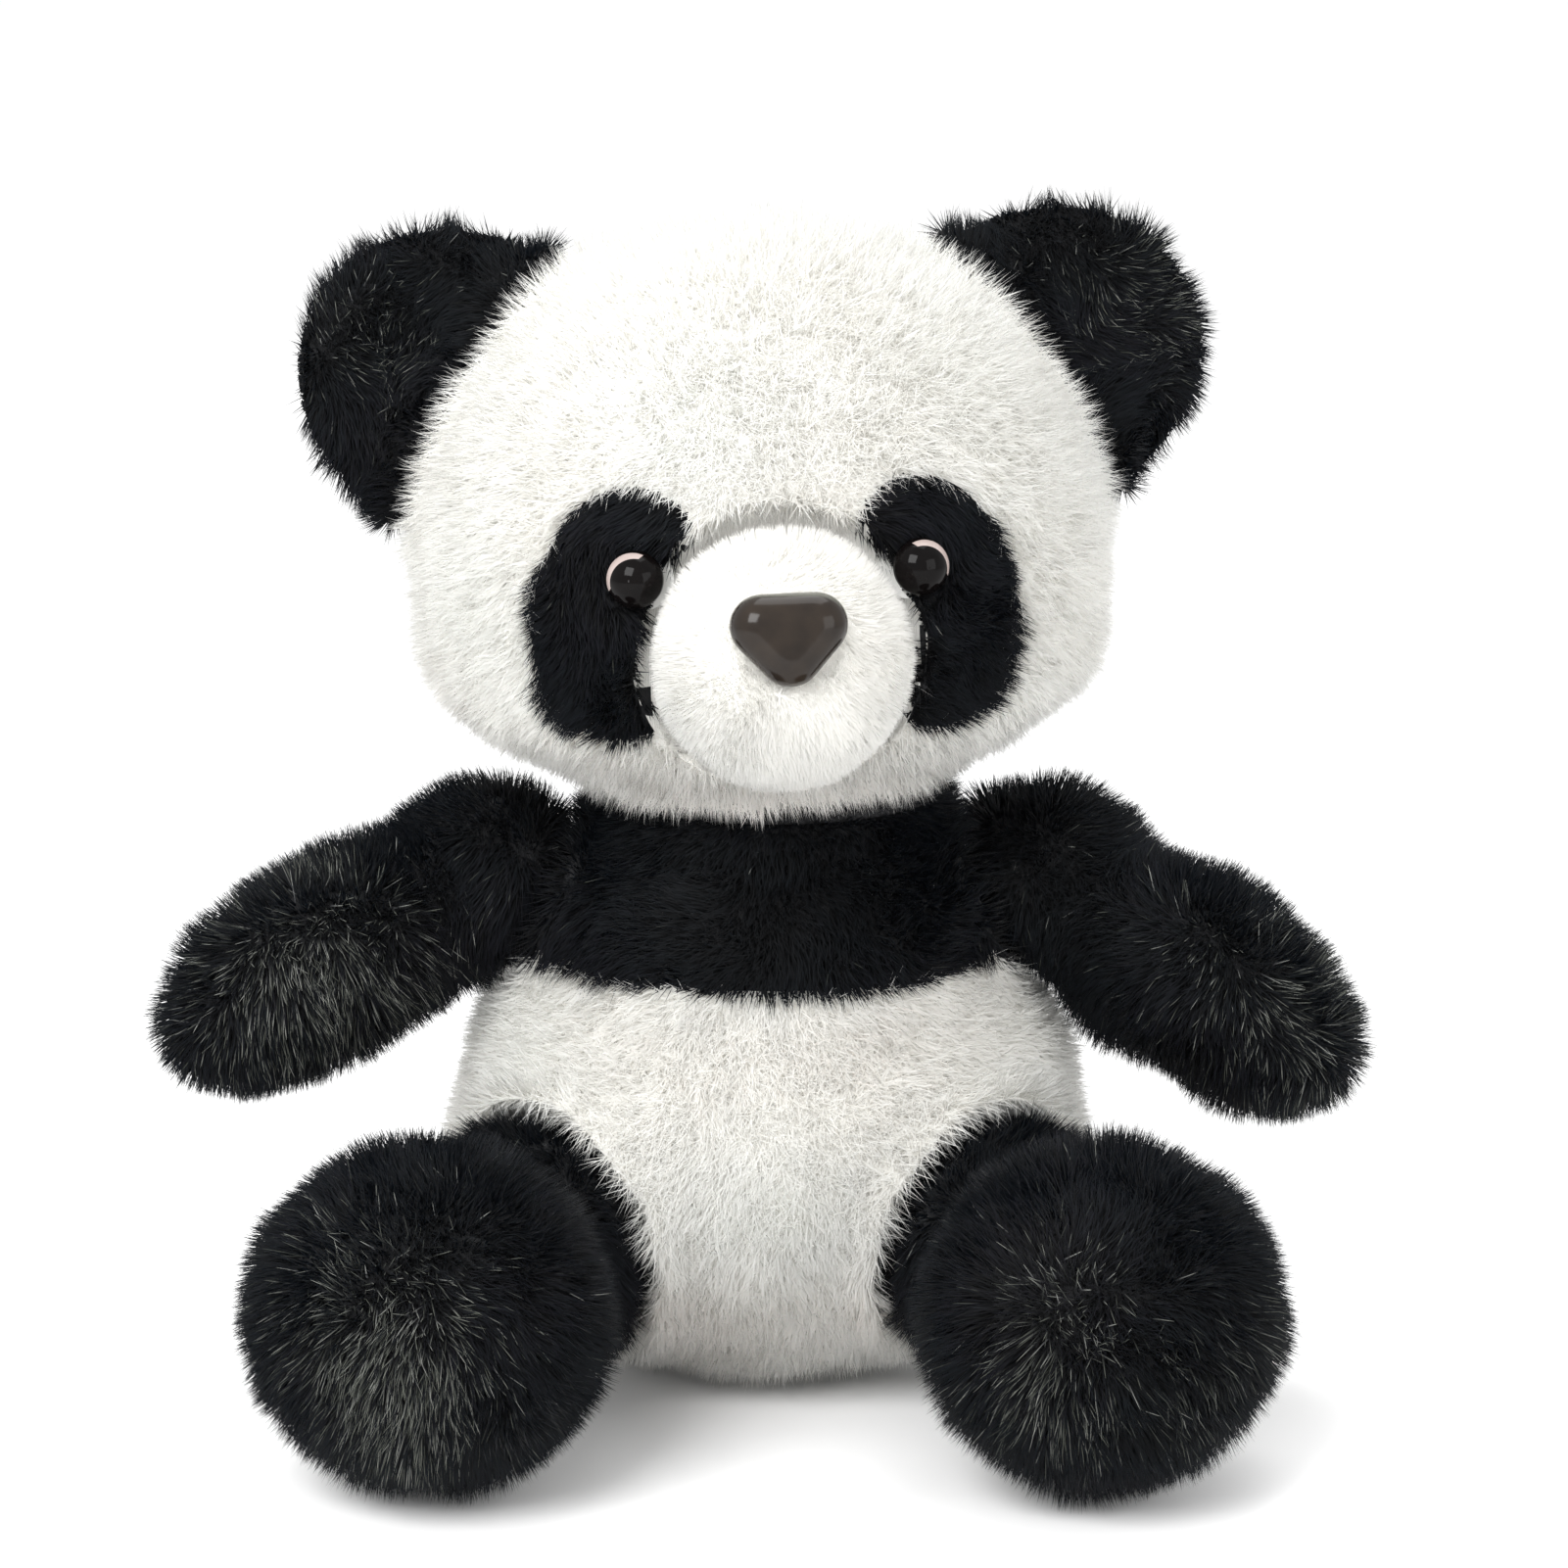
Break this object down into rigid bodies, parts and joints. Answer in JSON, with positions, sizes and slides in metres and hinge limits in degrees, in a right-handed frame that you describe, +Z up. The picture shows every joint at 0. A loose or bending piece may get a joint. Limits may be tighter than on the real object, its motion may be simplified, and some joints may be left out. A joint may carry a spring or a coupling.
{
  "type": "plush panda",
  "caption": "Seated plush panda with a stuffed round head, arms and legs that swing at sewn joints, glossy safety eyes and nose, and a flat weighted seat.",
  "frame": {"origin": "centre of the flat seat, on the surface that the toy sits on", "axes": "-Y is the way the face looks, +X is to the right of someone who looks at the face, +Z up"},
  "size_m": [0.2722, 0.2055, 0.264],
  "materials": {
    "white_plush": "dense soft white pile",
    "black_plush": "longer black pile with a few frosted fibres",
    "eye_plastic": "polished black",
    "eye_white": "polished off-white",
    "nose_plastic": "polished dark grey-brown",
    "washer_plastic": "moulded natural plastic",
    "fibre_fill": "loose polyester fibre",
    "bag_cloth": "woven bag of plastic pellets",
    "thread": "waxed gathering thread"
  },
  "bodies": {
    "torso": {"chest_skin": "black_plush", "upper_back_skin": "black_plush", "belly_left": "white_plush", "belly_right": "white_plush", "lower_back_skin": "white_plush", "seat_panel": "white_plush", "torso_stuffing": "fibre_fill", "pellet_bag": "bag_cloth", "tail": "white_plush"},
    "neck": {"neck_thread": "thread"},
    "head": {"face_left": "white_plush", "face_right": "white_plush", "head_back_left": "white_plush", "head_back_right": "white_plush", "eye_patch_left": "black_plush", "eye_patch_right": "black_plush", "muzzle_skin": "white_plush", "muzzle_stuffing": "fibre_fill", "head_stuffing": "fibre_fill", "eye_left": "eye_plastic", "eye_right": "eye_plastic", "eye_white_left": "eye_white", "eye_white_right": "eye_white", "eye_washer_left": "washer_plastic", "eye_washer_right": "washer_plastic", "nose": "nose_plastic", "nose_washer": "washer_plastic"},
    "ear_left": {"ear_left_front": "black_plush", "ear_left_back": "black_plush"},
    "ear_right": {"ear_right_front": "black_plush", "ear_right_back": "black_plush"},
    "arm_left": {"arm_left_top": "black_plush", "arm_left_under": "black_plush", "arm_left_stuffing": "fibre_fill"},
    "arm_right": {"arm_right_top": "black_plush", "arm_right_under": "black_plush", "arm_right_stuffing": "fibre_fill"},
    "leg_left": {"leg_left_outer": "black_plush", "leg_left_inner": "black_plush", "sole_left": "black_plush", "leg_left_stuffing": "fibre_fill"},
    "leg_right": {"leg_right_outer": "black_plush", "leg_right_inner": "black_plush", "sole_right": "black_plush", "leg_right_stuffing": "fibre_fill"}
  },
  "joints": [
    {"name": "neck_turn", "type": "hinge", "parent": "torso", "child": "neck", "pos_m": [0.002, 0, 0.09], "axis": [0, 0, 1], "range_deg": [-20, 20], "stiffness_Nm_per_rad": 1.5},
    {"name": "neck_nod", "type": "hinge", "parent": "neck", "child": "head", "pos_m": [0.002, 0, 0.09], "axis": [1, 0, 0], "range_deg": [-8, 8], "stiffness_Nm_per_rad": 1.5},
    {"name": "shoulder_left", "type": "hinge", "parent": "torso", "child": "arm_left", "pos_m": [-0.065, 0, 0.112], "axis": [-0.454, 0.891, 0], "range_deg": [-3, 40], "stiffness_Nm_per_rad": 0.3},
    {"name": "shoulder_right", "type": "hinge", "parent": "torso", "child": "arm_right", "pos_m": [0.065, 0, 0.112], "axis": [-0.454, -0.891, 0], "range_deg": [-1, 45], "stiffness_Nm_per_rad": 0.3},
    {"name": "hip_left", "type": "hinge", "parent": "torso", "child": "leg_left", "pos_m": [-0.05306, -0.04297, 0.037], "axis": [-0.9455, 0.3256, 0], "range_deg": [0, 20], "stiffness_Nm_per_rad": 0.5},
    {"name": "hip_right", "type": "hinge", "parent": "torso", "child": "leg_right", "pos_m": [0.05306, -0.04297, 0.037], "axis": [-0.9455, -0.3256, 0], "range_deg": [0, 20], "stiffness_Nm_per_rad": 0.5},
    {"name": "ear_left", "type": "hinge", "parent": "head", "child": "ear_left", "pos_m": [-0.06635, 0.00324, 0.21947], "axis": [0.5286, 0.037, 0.848], "range_deg": [-15, 15], "stiffness_Nm_per_rad": 0.05},
    {"name": "ear_right", "type": "hinge", "parent": "head", "child": "ear_right", "pos_m": [0.06006, 0.01208, 0.22389], "axis": [0.5863, 0.041, -0.809], "range_deg": [-15, 15], "stiffness_Nm_per_rad": 0.05}
  ]
}
